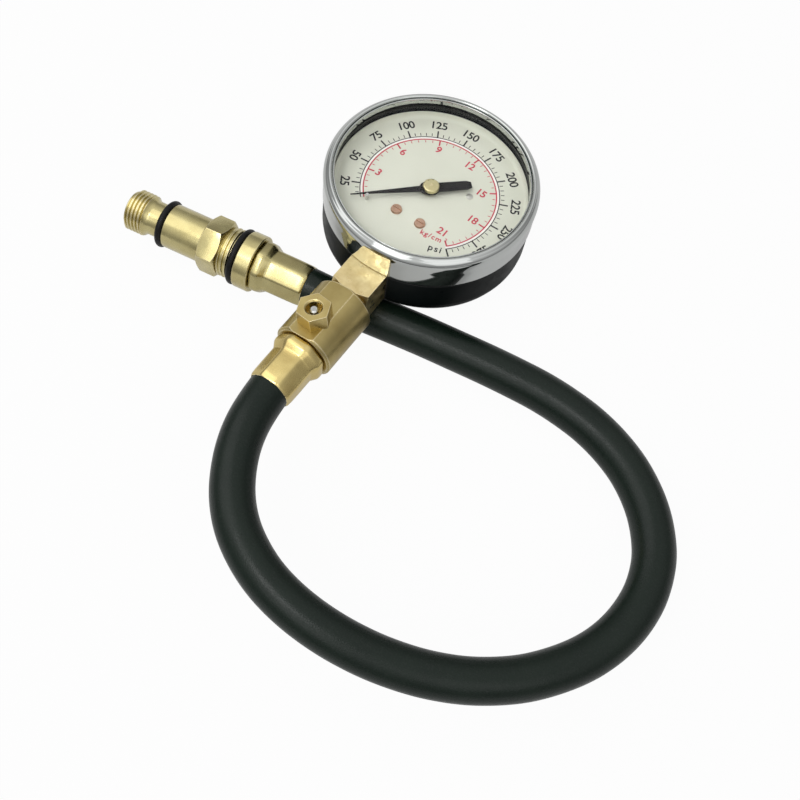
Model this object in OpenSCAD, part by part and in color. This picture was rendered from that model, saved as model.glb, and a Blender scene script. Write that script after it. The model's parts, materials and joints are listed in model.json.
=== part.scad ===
// Compression tester gauge: dial gauge, tee with relief valve, hose and plug end.
// Millimetres. +Z is up, the stem points to -Y, the floor is z = 0.

/* [Gauge] */
// Outer diameter of the painted case
case_d = 65.4; // [50:0.5:80]
// Thickness of the case wall
case_wall = 0.8; // [0.6:0.1:1.5]
// Rounding of the case's back edge
back_round = 5.5; // [3:0.5:6]
// How far the bezel stands out past the case
bezel_over = 0.5; // [0.3:0.1:1.5]
// Height of the dial face above the case back
dial_z = 18.8; // [18.8:0.2:24]
// Thickness of the window
window_t = 2; // [1.5:0.25:2.5]
// Lift of the stem side, which lies over the hose, in degrees
gauge_tilt = 9.5; // [8:0.5:14]

/* [Movement] */
// Pitch radius of the sector gear, ten times that of the pinion
sector_r = 12; // [11:0.5:12]
// Distance of the link pin from the sector's pivot
tail_r = 4; // [3:0.5:4.5]
// Centreline radius of the curved pressure tube
tube_r = 23; // [22:0.5:25]
// Pointer length from its axis to the tip
pointer_len = 25; // [20:0.5:26]
// Travel of the pointer from its stop to full scale, in degrees
pointer_travel = 267; // [200:1:270]

/* [Stem and tee] */
// Width of the square stem
stem_w = 12.7; // [11:0.1:12.7]
// Height of the stem's axis above the case back
stem_h = 10; // [9.5:0.1:10]
// Distance from the gauge's axis to the start of the tee
tee_start = 44; // [43:0.5:50]
// Diameter of the tee's round bar
tee_d = 19; // [18:0.5:22]
// Length of the tee's round bar
tee_len = 21.5; // [20:0.5:30]
// Roll of the relief valve about the stem's axis, in degrees
valve_roll = 8; // [0:1:40]
// Distance across the flats of the relief valve's hexagon
valve_af = 9.2; // [9:0.1:12]
// Press of the relief pin
relief_press = 1.2; // [0.8:0.1:1.2]

/* [Hose and ferrules] */
// Outer diameter of the hose
hose_od = 12.7; // [12:0.1:13]
// Bore of the hose
hose_bore = 4.8; // [4:0.1:5.6]
// Length of each ferrule
ferrule_len = 16; // [15:0.5:20]
// Diameter of the ferrule's uncrimped bulge
bulge_d = 17; // [16.2:0.1:18]
// Thickness of the ferrule at its crimped flats
crimp_wall = 0.4; // [0.35:0.05:0.8]

/* [Plug end] */
// Diameter of the collar on the hose end fitting
collar_d = 18.6; // [18:0.1:20]
// Distance across the flats of the adapter's hexagon
plug_af = 16.3; // [15.5:0.1:18]
// Diameter of the adapter's plain barrel
barrel_d = 14.4; // [14:0.1:15.2]
// Length of the adapter's plain barrel
barrel_len = 13.2; // [10:0.1:16]
// Outer diameter of the spark plug thread
plug_thread_d = 13.6; // [13.6:0.1:14]
// Lift of the check valve pin
check_lift = 1; // [0.6:0.1:1]

/* [Hidden] */
$fn = 64;

case_r = case_d / 2;
bezel_r = case_r + bezel_over;
seat_z = dial_z + 4;
glass_z = seat_z + 0.8;
lip_z = glass_z + window_t;
front_z = lip_z + 2.4;
neck_r = bezel_r - 1.4;
lip_r = neck_r - 1.9;
glass_r = neck_r - 0.7;
dial_r = neck_r - 1.4;
case_in = case_r - case_wall;
skirt_z = dial_z - 2.35;
shoulder_z = skirt_z - max(0.5, abs(case_r - neck_r));

// Bezel section as radius and height, from the skirt round the front to the lip
bezel_section = [
    [neck_r + 0.1, skirt_z], [bezel_r - 0.2, skirt_z], [bezel_r - 0.2, dial_z + 3],
    [bezel_r - 0.05, dial_z + 5], [bezel_r, dial_z + 6.2], [bezel_r - 0.12, front_z - 2],
    [bezel_r - 0.45, front_z - 1.2], [bezel_r - 1, front_z - 0.5], [bezel_r - 1.6, front_z - 0.12],
    [bezel_r - 2.1, front_z], [bezel_r - 2.5, front_z - 0.2], [bezel_r - 2.7, front_z - 0.6],
    [bezel_r - 2.95, front_z - 0.45], [lip_r + 0.1, front_z - 0.6], [lip_r, front_z - 1.2],
    [lip_r, lip_z + 0.03], [glass_r + 0.1, lip_z + 0.03], [neck_r + 0.1, lip_z - 0.8]];

// Where the gauge's local frame stands, so that the back edge rests on the floor
tc = cos(gauge_tilt);
ts = sin(gauge_tilt);
gauge_z = (case_r - back_round) * ts - back_round * tc + back_round;
tee_end = tee_start + tee_len;
mouth = tee_end + ferrule_len;
crimp_af = hose_od + 2 * crimp_wall;
y_far = max([for (p = bezel_section) p[0] * tc + p[1] * ts]);
y_near = -mouth * tc + (stem_h - crimp_af / 2) * ts;
gauge_y = -(y_far + y_near) / 2;

// Movement
pinion_r = sector_r / 10;
tooth_m = pinion_r / 6;
pivot_y = -(sector_r + pinion_r);
swing = pointer_travel / 10;
tail_rest = -60 - swing / 2;
tail_pin = [tail_r * cos(tail_rest), pivot_y + tail_r * sin(tail_rest)];
tip_angle = -18;
root_angle = 262;
tip_pin = [(tube_r - 3.6) * cos(tip_angle - 4), (tube_r - 3.6) * sin(tip_angle - 4)];
rest_angle = -136;
plate_back = 4;
plate_front = 12;
gear_z = 8.4;
tube_z = 9.5;
tube_t = 3.2;
tube_wall = 0.5;
tube_h = 5.8;
hub_z = dial_z + 0.9;
stop_r = 20;
stop_d = 1;
pointer_tip_w = 0.24;
pointer_root_w = 2.1;
pointer_root = 3.4;
pointer_at_stop = pointer_tip_w
    + (pointer_root_w - pointer_tip_w) * (pointer_len - stop_r) / (pointer_len - pointer_root);
stop_angle = rest_angle + asin((pointer_at_stop / 2 + stop_d / 2 + 0.12) / stop_r);
screw_x = 4.3;
screw_y = -12.2;
pillar_d = 3;
pillar_x = 9.2;
pillar_y = 1.6;
plate_screw_x = 7.4;
plate_screw_y = -15;
case_screw_x = 4;
case_screw_y = -(tube_r + 1.5);
foot_w = 2 * plate_screw_x + 4.4;
foot_near = case_screw_y - 2.9;
foot_far = plate_screw_y + 2.2;
stem_in = tube_r - 3;

// Tee and relief valve, the valve's heights measured from the stem's axis
valve_at = tee_start + 0.65 * tee_len;
flat_h = tee_d / 2 - 1;
valve_hex_roll = -8;
hex_h = 5;
hex_top = flat_h + hex_h;
core_top = flat_h + 0.9;
relief_head = core_top + 1.2 + relief_press;
recess_d = 4.6;
stem_neck = stem_w / 2 - 1.35;
nipple_d = 9.7;
nipple_len = 6.8;
hose_in = 2.5;

// Plug end: its axis lies on the floor on the collar and the large ring
plug_xy = [-38.94, -42.98];
plug_yaw = 188.63;
plug_h = collar_d / 2;
collar_len = 5.3;
ring_d = 2.2;
ring_room = ring_d + 0.04;
plug_neck_r = 5.6;
plug_ferrule = ferrule_len + 1.6;
plug_mouth = -(collar_len + plug_ferrule);
hex_a = 6.4;
hex_b = hex_a + 6.8;
plug_hex_roll = 2.5;
ring_a = hex_b + barrel_len;
shoulder_a = ring_a + 7.5;
tip_end = shoulder_a + 6.8;
check_head = tip_end - 1.6;
check_seat = check_head - 2.02 - check_lift;

// Hose route relative to the gauge's axis, from the tee's mouth to the plug's mouth
function on_stem(l) = [0, -l * tc + stem_h * ts, gauge_z + l * ts + stem_h * tc];
function on_plug(s) = [plug_xy[0] + s * cos(plug_yaw), plug_xy[1] + s * sin(plug_yaw), plug_h];
grow = hose_od / 2 - 6.35;
free_run = [
    [1.6, -89.5, 30.0], [4.6, -98.5, 31.0], [9.4, -106.9, 31.6], [15.1, -113.3, 31.9],
    [21.8, -118.1, 32.0], [30.3, -121.9, 31.9], [39.3, -124.0, 31.6], [49.2, -124.7, 31.0],
    [59.7, -124.0, 29.9], [70.8, -121.8, 28.4], [82.5, -117.7, 26.5], [93.8, -111.4, 24.1],
    [104.6, -102.2, 21.3], [113.6, -89.8, 18.1], [118.2, -77.5, 15.6], [119.1, -65.3, 13.4],
    [116.6, -54.6, 11.6], [112.0, -46.5, 10.2], [105.6, -39.5, 9.0], [97.4, -33.7, 8.0],
    [88.5, -29.8, 7.3], [79.1, -27.4, 6.8], [69.8, -26.5, 6.5], [61.2, -26.5, 6.4],
    [52.2, -27.3, 6.36], [43.2, -28.4, 6.36], [33.2, -29.9, 6.36], [22.2, -31.6, 6.36],
    [11.2, -33.6, 6.4], [0.2, -36, 7.1], [-8.4, -38.1, 8.3]];
route = concat(
    [on_stem(tee_end + hose_in), on_stem(tee_end + 8), on_stem(mouth)],
    [for (p = free_run) [p[0], p[1], p[2] + grow]],
    [on_plug(plug_mouth), on_plug(plug_mouth + 9), on_plug(-collar_len - hose_in)]);
hose_sides = 14;

// Smooth curve through the route's points
function curve(a, b, c, d, u) = 0.5 * ((2 * b) + (c - a) * u + (2 * a - 5 * b + 4 * c - d) * u * u
    + (3 * b - a - 3 * c + d) * u * u * u);
function at(i) = route[max(0, min(len(route) - 1, i))];
path = concat(
    [for (i = [0 : len(route) - 2], u = [0, 0.5]) curve(at(i - 1), at(i), at(i + 1), at(i + 2), u)],
    [route[len(route) - 1]]);
function unit(v) = v / norm(v);
function heading(i) = unit(path[min(i + 1, len(path) - 1)] - path[max(i - 1, 0)]);
function side(i) = unit(cross(heading(i), [0, 0, 1]));
function ring(i, r) = [for (k = [0 : hose_sides - 1])
    let (a = 360 * k / hose_sides)
    path[i] + r * (cos(a) * side(i) + sin(a) * cross(side(i), heading(i)))];

// Gear flanks
function inv(rb, r) = let (a = acos(min(1, rb / r))) tan(a) * 180 / PI - a;
function half_tooth(rp, rb, half, r) = half + inv(rb, rp) - inv(rb, max(rb, r));
function polar(r, a) = [r * cos(a), r * sin(a)];

module gauge_frame() {
    translate([0, gauge_y, gauge_z]) rotate([-gauge_tilt, 0, 0]) children();
}

// Along the stem, z is the distance from the gauge's axis
module stem_frame() {
    gauge_frame() translate([0, 0, stem_h]) rotate([90, 0, 0]) children();
}

// On the relief valve's axis, z is the distance from the stem's axis
module valve_frame() {
    stem_frame() translate([0, 0, valve_at]) rotate([0, 0, valve_roll]) rotate([-90, 0, 0]) children();
}

// On the plug's axis, z is the distance from the collar's face towards the tip
module plug_frame() {
    translate([plug_xy[0], plug_xy[1] + gauge_y, plug_h]) rotate([0, 0, plug_yaw])
        rotate([0, 90, 0]) children();
}

module tube(od, id, h) {
    difference() {
        cylinder(d = od, h = h);
        translate([0, 0, -1]) cylinder(d = id, h = h + 2);
    }
}

module hexagon(af, h) {
    cylinder(d = af / cos(30), h = h, $fn = 6);
}

// Hexagon with its corners turned off at both faces
module turned_hexagon(af, h) {
    intersection() {
        hexagon(af, h);
        rotate_extrude() polygon([[0, 0], [af / 2, 0], [af * 0.6, 0.55], [af * 0.6, h - 0.55],
            [af / 2, h], [0, h]]);
    }
}

// Coil of round wire that stands on z = 0
module coil(r, wire, h, turns) {
    n = 12 * turns;
    m = 6;
    pts = [for (i = [0 : n]) let (a = 30 * i, z = wire / 2 + (h - wire) * i / n)
        for (k = [0 : m - 1]) let (b = 360 * k / m, q = r + wire / 2 * cos(b))
        [q * cos(a), q * sin(a), z + wire / 2 * sin(b)]];
    walls = [for (i = [0 : n - 1], k = [0 : m - 1]) let (j = (k + 1) % m)
        each [[i * m + k, (i + 1) * m + k, (i + 1) * m + j], [i * m + k, (i + 1) * m + j, i * m + j]]];
    polyhedron(pts, concat([[for (k = [0 : m - 1]) k]], walls,
        [[for (k = [m - 1 : -1 : 0]) n * m + k]]));
}

module gauge_case() {
    color([0.06, 0.06, 0.07]) gauge_frame() difference() {
        rotate_extrude() polygon(concat(
            [[0, 0]],
            [for (a = [-90 : 15 : 0]) [case_r - back_round, back_round] + polar(back_round, a)],
            [[case_r, shoulder_z], [neck_r, skirt_z], [neck_r, seat_z], [lip_r + 0.4, seat_z],
                [lip_r + 0.4, seat_z - 0.8], [neck_r - case_wall, seat_z - 0.8],
                [neck_r - case_wall, skirt_z], [case_in, shoulder_z]],
            [for (a = [0 : -15 : -90])
                [case_r - back_round, back_round] + polar(max(0.2, back_round - case_wall), a)],
            [[0, case_wall]]));
        translate([-stem_w / 2 - 0.1, -case_r - 2, stem_h - stem_w / 2 - 0.1])
            cube([stem_w + 0.2, case_r - tube_r + 1, stem_w + 0.2]);
        for (s = [-1, 1]) translate([case_screw_x * s, case_screw_y, -1]) cylinder(d = 2.6, h = 4);
    }
}

module bezel() {
    color([0.85, 0.86, 0.88]) gauge_frame() rotate_extrude($fn = 96) polygon(bezel_section);
}

module window() {
    color([0.8, 0.85, 0.87, 0.3]) gauge_frame() translate([0, 0, glass_z])
        cylinder(r = glass_r, h = window_t);
}

module window_gasket() {
    color([0.08, 0.08, 0.08]) gauge_frame() translate([0, 0, seat_z])
        tube(2 * glass_r, 2 * lip_r + 0.8, glass_z - seat_z);
}

module dial_plate() {
    color([0.9, 0.89, 0.82]) gauge_frame() difference() {
        translate([0, 0, dial_z - 0.6]) cylinder(r = dial_r, h = 0.6);
        translate([0, 0, dial_z - 1]) cylinder(d = 3, h = 2);
        for (s = [-1, 1]) translate([screw_x * s, screw_y, dial_z - 1]) cylinder(d = 2, h = 2);
        rotate([0, 0, stop_angle]) translate([stop_r, 0, dial_z - 1]) cylinder(d = stop_d + 0.02, h = 2);
    }
}

module dial_screws() {
    color([0.7, 0.42, 0.24]) gauge_frame() for (s = [-1, 1]) translate([screw_x * s, screw_y, 0])
        difference() {
            union() {
                translate([0, 0, dial_z]) cylinder(d1 = 3.6, d2 = 3.2, h = 0.8);
                translate([0, 0, dial_z - 3]) cylinder(d = 1.7, h = 3.1);
            }
            translate([-2, -0.25, dial_z + 0.4]) cube([4, 0.5, 1]);
        }
}

module zero_stop_pin() {
    color([0.75, 0.75, 0.73]) gauge_frame() rotate([0, 0, stop_angle])
        translate([stop_r, 0, dial_z - 0.5]) cylinder(d = stop_d, h = 2.9);
}

module pointer() {
    color([0.03, 0.03, 0.03]) gauge_frame() rotate([0, 0, rest_angle]) difference() {
        translate([0, 0, hub_z + 0.7]) linear_extrude(0.4) polygon([
            [pointer_len, pointer_tip_w / 2], [pointer_len, -pointer_tip_w / 2],
            [pointer_root, -pointer_root_w / 2], [2.6, -2], [0.9, -2.7], [-0.9, -2.7], [-2.6, -1.7],
            [-11.4, -1.6], [-12.9, -1], [-12.9, 1], [-11.4, 1.6], [-2.6, 1.7], [-0.9, 2.7],
            [0.9, 2.7], [2.6, 2], [pointer_root, pointer_root_w / 2]]);
        translate([0, 0, hub_z - 1]) cylinder(d = 2.02, h = 4);
    }
}

module pointer_hub() {
    color([0.78, 0.62, 0.3]) gauge_frame() difference() {
        union() {
            translate([0, 0, hub_z]) cylinder(d = 4.4, h = 0.68);
            translate([0, 0, hub_z + 0.6]) cylinder(d = 2, h = 0.6);
            translate([0, 0, hub_z + 1.12]) cylinder(d = 5.2, h = 1);
            translate([0, 0, hub_z + 2.12]) cylinder(d1 = 5.2, d2 = 4.6, h = 0.3);
        }
        translate([0, 0, hub_z - 1]) cylinder(d = 1.02, h = 3.1);
    }
}

module pinion_arbor() {
    rb = pinion_r * cos(20);
    ra = pinion_r + 0.8 * tooth_m;
    rf = pinion_r - 1.2 * tooth_m;
    color([0.6, 0.6, 0.58]) gauge_frame() {
        translate([0, 0, plate_back - 0.1]) cylinder(d = 1, h = hub_z + 2 - plate_back);
        translate([0, 0, gear_z - 0.3]) linear_extrude(1.6) polygon([for (k = [0 : 11])
            let (c = -75 + 30 * k) each concat(
                [polar(rf, c - half_tooth(pinion_r, rb, 6.3, rb))],
                [for (r = [rb, pinion_r, ra]) polar(r, c - half_tooth(pinion_r, rb, 6.3, r))],
                [for (r = [ra, pinion_r, rb]) polar(r, c + half_tooth(pinion_r, rb, 6.3, r))],
                [polar(rf, c + half_tooth(pinion_r, rb, 6.3, rb))])]);
        translate([0, 0, 6.1]) cylinder(d = 2.2, h = 0.9);
    }
}

module hairspring() {
    inner = [for (i = [0 : 8 : 1080]) polar(1.16 + 3 * i / 1080, i)];
    outer = [for (i = [1080 : -8 : 0]) polar(1.3 + 3 * i / 1080, i)];
    color([0.55, 0.45, 0.25]) gauge_frame() translate([0, 0, 6.25]) linear_extrude(0.6)
        polygon(concat(inner, outer));
}

module sector_gear() {
    rb = sector_r * cos(20);
    ra = sector_r + 0.8 * tooth_m;
    rf = sector_r - 1.25 * tooth_m;
    first = 90 - 3 * 10;
    teeth = [for (k = [0 : 11]) let (c = first + 3 * k) each concat(
        [for (r = [rf, sector_r, ra]) polar(r, c - half_tooth(sector_r, rb, 0.63, r))],
        [for (r = [ra, sector_r, rf]) polar(r, c + half_tooth(sector_r, rb, 0.63, r))])];
    color([0.8, 0.66, 0.36]) gauge_frame() translate([0, pivot_y, gear_z]) difference() {
        union() {
            linear_extrude(1) polygon(concat(teeth,
                [for (a = [94.5 : -3 : 58]) polar(sector_r - 2.2, a)]));
            linear_extrude(1) polygon([polar(sector_r - 2, 84), polar(1, 160), polar(1.6, 230),
                polar(1, -20), polar(sector_r - 2, 69)]);
            linear_extrude(1) polygon([polar(1.5, tail_rest + 90), polar(1.5, tail_rest - 90),
                [tail_pin[0], tail_pin[1] - pivot_y] + polar(1, tail_rest - 60),
                [tail_pin[0], tail_pin[1] - pivot_y] + polar(1, tail_rest + 60)]);
            cylinder(r = 2, h = 1);
            translate([tail_pin[0], tail_pin[1] - pivot_y, 0]) cylinder(d = 2, h = 1);
            translate([tail_pin[0], tail_pin[1] - pivot_y, 0.5]) cylinder(d = 0.9, h = 1.7);
        }
        translate([0, 0, -1]) cylinder(d = 1.24, h = 3);
    }
}

module sector_arbor() {
    color([0.62, 0.62, 0.6]) gauge_frame() translate([0, pivot_y, 0]) {
        translate([0, 0, plate_back]) cylinder(d = 1.2, h = plate_front + 1 - plate_back);
        translate([0, 0, plate_back + 1.02]) tube(2.4, 1.2, gear_z - plate_back - 1.04);
        translate([0, 0, gear_z + 1.02]) tube(2.4, 1.2, plate_front - gear_z - 1.04);
    }
}

module link() {
    run = tip_pin - tail_pin;
    far = norm(run);
    color([0.76, 0.62, 0.34]) gauge_frame() translate([tail_pin[0], tail_pin[1], gear_z + 1.05])
        rotate([0, 0, atan2(run[1], run[0])]) difference() {
            union() {
                cylinder(d = 2.6, h = 0.7);
                translate([0, -0.65, 0]) cube([far, 1.3, 0.7]);
                translate([far, 0, 0]) cylinder(d = 2.6, h = 0.7);
            }
            translate([0, 0, -1]) cylinder(d = 1.4, h = 3);
            translate([far, 0, -1]) cylinder(d = 1.02, h = 3);
        }
}

module flat_tube(t) {
    square([t, tube_h], center = true);
    for (s = [-1, 1]) translate([0, s * tube_h / 2]) circle(r = t / 2, $fn = 32);
}

module tube_tip() {
    color([0.8, 0.64, 0.34]) gauge_frame() {
        difference() {
            rotate([0, 0, tip_angle - 8]) rotate_extrude(angle = 7.9) translate([tube_r, tube_z])
                flat_tube(tube_t);
            translate([tip_pin[0], tip_pin[1], gear_z + 1]) cylinder(r = 2.2, h = 1);
        }
        translate([tip_pin[0], tip_pin[1], gear_z - 0.4]) {
            cylinder(d = 2.6, h = 1.4);
            rotate([0, 0, tip_angle - 4]) translate([0, -1.3, 0]) cube([2.4, 2.6, 1.4]);
            cylinder(d = 1, h = 2.6);
        }
    }
}

module pressure_tube() {
    color([0.74, 0.56, 0.3]) gauge_frame() rotate([0, 0, tip_angle])
        rotate_extrude(angle = root_angle - tip_angle) translate([tube_r, tube_z]) difference() {
            flat_tube(tube_t);
            flat_tube(tube_t - 2 * tube_wall);
        }
}

module plate(z, holes) {
    gauge_frame() translate([0, 0, z]) difference() {
        linear_extrude(1) polygon([for (p = [[-1.2, -1], [1.2, -1], [1.8, 0], [1.8, 1], [0.3, 2],
            [-0.3, 2], [-1.8, 1], [-1.8, 0]]) [sign(p[0]) * pillar_x + p[0],
                [plate_screw_y - 1.6, plate_screw_y - 0.5, pillar_y + 0.4, pillar_y + 3][p[1] + 1]]]);
        translate([0, 0, -1]) cylinder(d = 1.08, h = 3);
        translate([0, pivot_y, -1]) cylinder(d = 1.22, h = 3);
        for (s = [-1, 1]) translate([pillar_x * s, pillar_y, -1]) cylinder(d = 1.62, h = 3);
        for (s = [-1, 1], y = holes) translate([plate_screw_x * s, y, -1]) cylinder(d = 2.1, h = 3);
    }
}

module movement_back_plate() {
    color([0.82, 0.7, 0.4]) plate(plate_back, [plate_screw_y]);
}

module movement_front_plate() {
    color([0.82, 0.7, 0.4]) {
        plate(plate_front, []);
        gauge_frame() for (s = [-1, 1]) translate([screw_x * s, screw_y, plate_front + 1])
            tube(4, 1.76, dial_z - 0.6 - plate_front - 1);
    }
}

module movement_pillars() {
    color([0.8, 0.68, 0.38]) gauge_frame() for (s = [-1, 1]) translate([pillar_x * s, pillar_y, 0]) {
        translate([0, 0, plate_back + 1]) cylinder(d = pillar_d, h = plate_front - plate_back - 1);
        translate([0, 0, plate_back]) cylinder(d = 1.6, h = plate_front + 1 - plate_back);
    }
}

module movement_screws() {
    color([0.66, 0.66, 0.64]) gauge_frame() for (s = [-1, 1])
        translate([plate_screw_x * s, plate_screw_y, 0]) difference() {
            union() {
                translate([0, 0, plate_back + 1]) cylinder(d = 3.6, h = 1.1);
                translate([0, 0, plate_back - 2.6]) cylinder(d = 2, h = 3.7);
            }
            translate([-2, -0.25, plate_back + 1.6]) cube([4, 0.5, 1]);
        }
}

module case_screws() {
    color([0.66, 0.66, 0.64]) gauge_frame() for (s = [-1, 1])
        translate([case_screw_x * s, case_screw_y, 0]) difference() {
            union() {
                translate([0, 0, -0.9]) cylinder(d1 = 3.6, d2 = 4.4, h = 0.9);
                translate([0, 0, -0.1]) cylinder(d = 2.4, h = plate_back + 0.7);
            }
            translate([-3, -0.3, -1.4]) cube([6, 0.6, 1]);
        }
}

module gauge_socket() {
    color([0.78, 0.64, 0.32]) {
        difference() {
            union() {
                stem_frame() intersection() {
                    translate([-stem_w / 2, -stem_w / 2, stem_in])
                        cube([stem_w, stem_w, tee_start - stem_in]);
                    rotate_extrude() polygon([[0, 0], [stem_w, 0],
                        [stem_w, tee_start - (stem_w - stem_neck) * tan(30)],
                        [stem_neck, tee_start], [0, tee_start]]);
                }
                gauge_frame() translate([0, 0, case_wall]) intersection() {
                    translate([-foot_w / 2, foot_near, 0])
                        cube([foot_w, foot_far - foot_near, plate_back - case_wall]);
                    cylinder(r = case_r - back_round, h = plate_back);
                }
            }
            stem_frame() translate([0, 0, tube_r - 0.8])
                cylinder(d = 3, h = tee_start + nipple_len - tube_r + 2);
            gauge_frame() rotate([0, 0, 238]) rotate_extrude(angle = root_angle - 238 + 0.1)
                translate([tube_r, tube_z]) flat_tube(tube_t + 0.04);
            gauge_frame() for (s = [-1, 1]) {
                translate([case_screw_x * s, case_screw_y, case_wall - 1])
                    cylinder(d = 2.44, h = plate_back + 1.7 - case_wall);
                translate([plate_screw_x * s, plate_screw_y, plate_back - 2.7])
                    cylinder(d = 2.04, h = 3);
            }
        }
        stem_frame() translate([0, 0, tee_start - 0.01]) tube(nipple_d, 3, nipple_len);
    }
}

module tee_body() {
    color([0.8, 0.66, 0.34]) difference() {
        union() {
            stem_frame() translate([0, 0, tee_start]) difference() {
                rotate_extrude() polygon([[0, 0], [tee_d / 2 - 0.7, 0], [tee_d / 2, 0.7],
                    [tee_d / 2, tee_len - 0.7], [tee_d / 2 - 0.7, tee_len], [0, tee_len]]);
                rotate([0, 0, valve_roll]) translate([-20, flat_h, -1]) cube([40, 20, tee_len + 2]);
            }
            stem_frame() translate([0, 0, tee_end]) cylinder(d = 9, h = 1.6);
            stem_frame() translate([0, 0, tee_end + 1.5]) cylinder(d = hose_bore - 0.04, h = 13.5);
        }
        stem_frame() translate([0, 0, tee_start - 1]) cylinder(d = nipple_d + 0.04, h = nipple_len + 1.2);
        stem_frame() translate([0, 0, tee_start + 5]) cylinder(d = 3, h = tee_len + 11);
        valve_frame() translate([0, 0, 3.5]) cylinder(d = 7.84, h = 20);
        valve_frame() cylinder(d = 3.4, h = 5);
    }
}

module relief_valve_body() {
    color([0.82, 0.68, 0.36]) valve_frame() difference() {
        union() {
            translate([0, 0, flat_h]) rotate([0, 0, valve_hex_roll]) hexagon(valve_af, hex_top - flat_h);
            translate([0, 0, 3.6]) cylinder(d = 7.8, h = flat_h - 3.6 + 0.1);
        }
        translate([0, 0, core_top - 1]) cylinder(d = recess_d, h = 10);
        translate([0, 0, hex_top - 0.5]) cylinder(d1 = recess_d, d2 = recess_d + 1, h = 0.52);
        translate([0, 0, 3]) cylinder(d = 3.44, h = 20);
    }
}

module relief_valve_core() {
    color([0.72, 0.58, 0.3]) valve_frame() difference() {
        union() {
            translate([0, 0, 5.2]) cylinder(d = 3.4, h = core_top - 1 - 5.2);
            translate([0, 0, core_top - 1]) cylinder(d = recess_d - 0.1, h = 1);
        }
        translate([0, 0, 1]) cylinder(d = 1.5, h = 20);
    }
}

module relief_valve_pin() {
    color([0.85, 0.82, 0.74]) valve_frame() rotate_extrude() polygon([[0, 4.4], [1.3, 4.4], [1.3, 5.18],
        [0.7, 5.18], [0.7, relief_head], [1.3, relief_head], [1.3, relief_head + 0.6],
        [0.9, relief_head + 1], [0, relief_head + 1]]);
}

module relief_valve_spring() {
    color([0.7, 0.7, 0.7]) valve_frame() translate([0, 0, core_top + 0.02])
        coil(1.1, 0.3, relief_head - core_top - 0.04, 3);
}

// Ferrule from its closed end at z = 0 to its mouth, crimped to eight flats
module ferrule(h, roll) {
    difference() {
        union() {
            rotate_extrude() polygon([[0, 0], [bulge_d / 2 - 0.5, 0], [bulge_d / 2, 0.5],
                [bulge_d / 2, 2.6], [bulge_d / 2 - 0.25, 3.1], [crimp_af / 2 - 0.1, 5.2], [0, 5.2]]);
            intersection() {
                rotate([0, 0, roll]) cylinder(d = crimp_af / cos(22.5), h = h - 0.8, $fn = 8);
                cylinder(d = crimp_af + 0.6, h = h);
            }
            translate([0, 0, h - 1]) cylinder(d1 = crimp_af, d2 = hose_od + 0.3, h = 1);
        }
        translate([0, 0, 1.6]) cylinder(d = hose_od + 0.04, h = h);
        translate([0, 0, -1]) cylinder(d = 9.04, h = 4);
    }
}

module ferrule_gauge_end() {
    color([0.8, 0.66, 0.32]) stem_frame() translate([0, 0, tee_end + 0.02])
        ferrule(ferrule_len - 0.02, 22.5);
}

module hose() {
    n = len(path);
    m = hose_sides;
    pts = [for (i = [0 : n - 1], r = [hose_od / 2, hose_bore / 2 / cos(180 / m)]) each ring(i, r)];
    color([0.07, 0.08, 0.075]) translate([0, gauge_y, 0]) polyhedron(pts, concat(
        [for (i = [0 : n - 2], k = [0 : m - 1]) let (a = 2 * m * i, b = a + 2 * m, j = (k + 1) % m)
            each [[a + k, b + k, b + j], [a + k, b + j, a + j],
                [a + m + k, b + m + j, b + m + k], [a + m + k, a + m + j, b + m + j]]],
        [for (k = [0 : m - 1]) let (j = (k + 1) % m)
            each [[k, j, m + j], [k, m + j, m + k]]],
        [for (k = [0 : m - 1]) let (a = 2 * m * (n - 1), j = (k + 1) % m)
            each [[a + k, a + m + j, a + j], [a + k, a + m + k, a + m + j]]]));
}

module ferrule_plug_end() {
    color([0.8, 0.66, 0.32]) plug_frame() translate([0, 0, -collar_len - 0.02]) rotate([180, 0, 0])
        ferrule(plug_ferrule - 0.02, 0);
}

module hose_end_fitting() {
    color([0.8, 0.66, 0.34]) plug_frame() difference() {
        union() {
            rotate_extrude() polygon([[0, -collar_len], [collar_d / 2 - 0.3, -collar_len],
                [collar_d / 2, -collar_len + 0.3], [collar_d / 2, -0.4], [collar_d / 2 - 0.4, 0], [0, 0]]);
            cylinder(d = collar_d - 2 * ring_d - 0.04, h = ring_room);
            translate([0, 0, -collar_len - 1.6]) cylinder(d = 9, h = 1.7);
            translate([0, 0, -collar_len - 15]) cylinder(d = hose_bore - 0.04, h = 15);
            translate([0, 0, ring_d]) cylinder(d = 11.6, h = 11);
        }
        translate([0, 0, -collar_len - 20]) cylinder(d = 3, h = 50);
    }
}

module o_ring(od, d) {
    rotate_extrude() translate([od / 2 - d / 2, 0]) circle(d = d, $fn = 32);
}

module o_ring_large() {
    color([0.05, 0.05, 0.05]) plug_frame() translate([0, 0, ring_room / 2]) o_ring(collar_d, ring_d);
}

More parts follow.
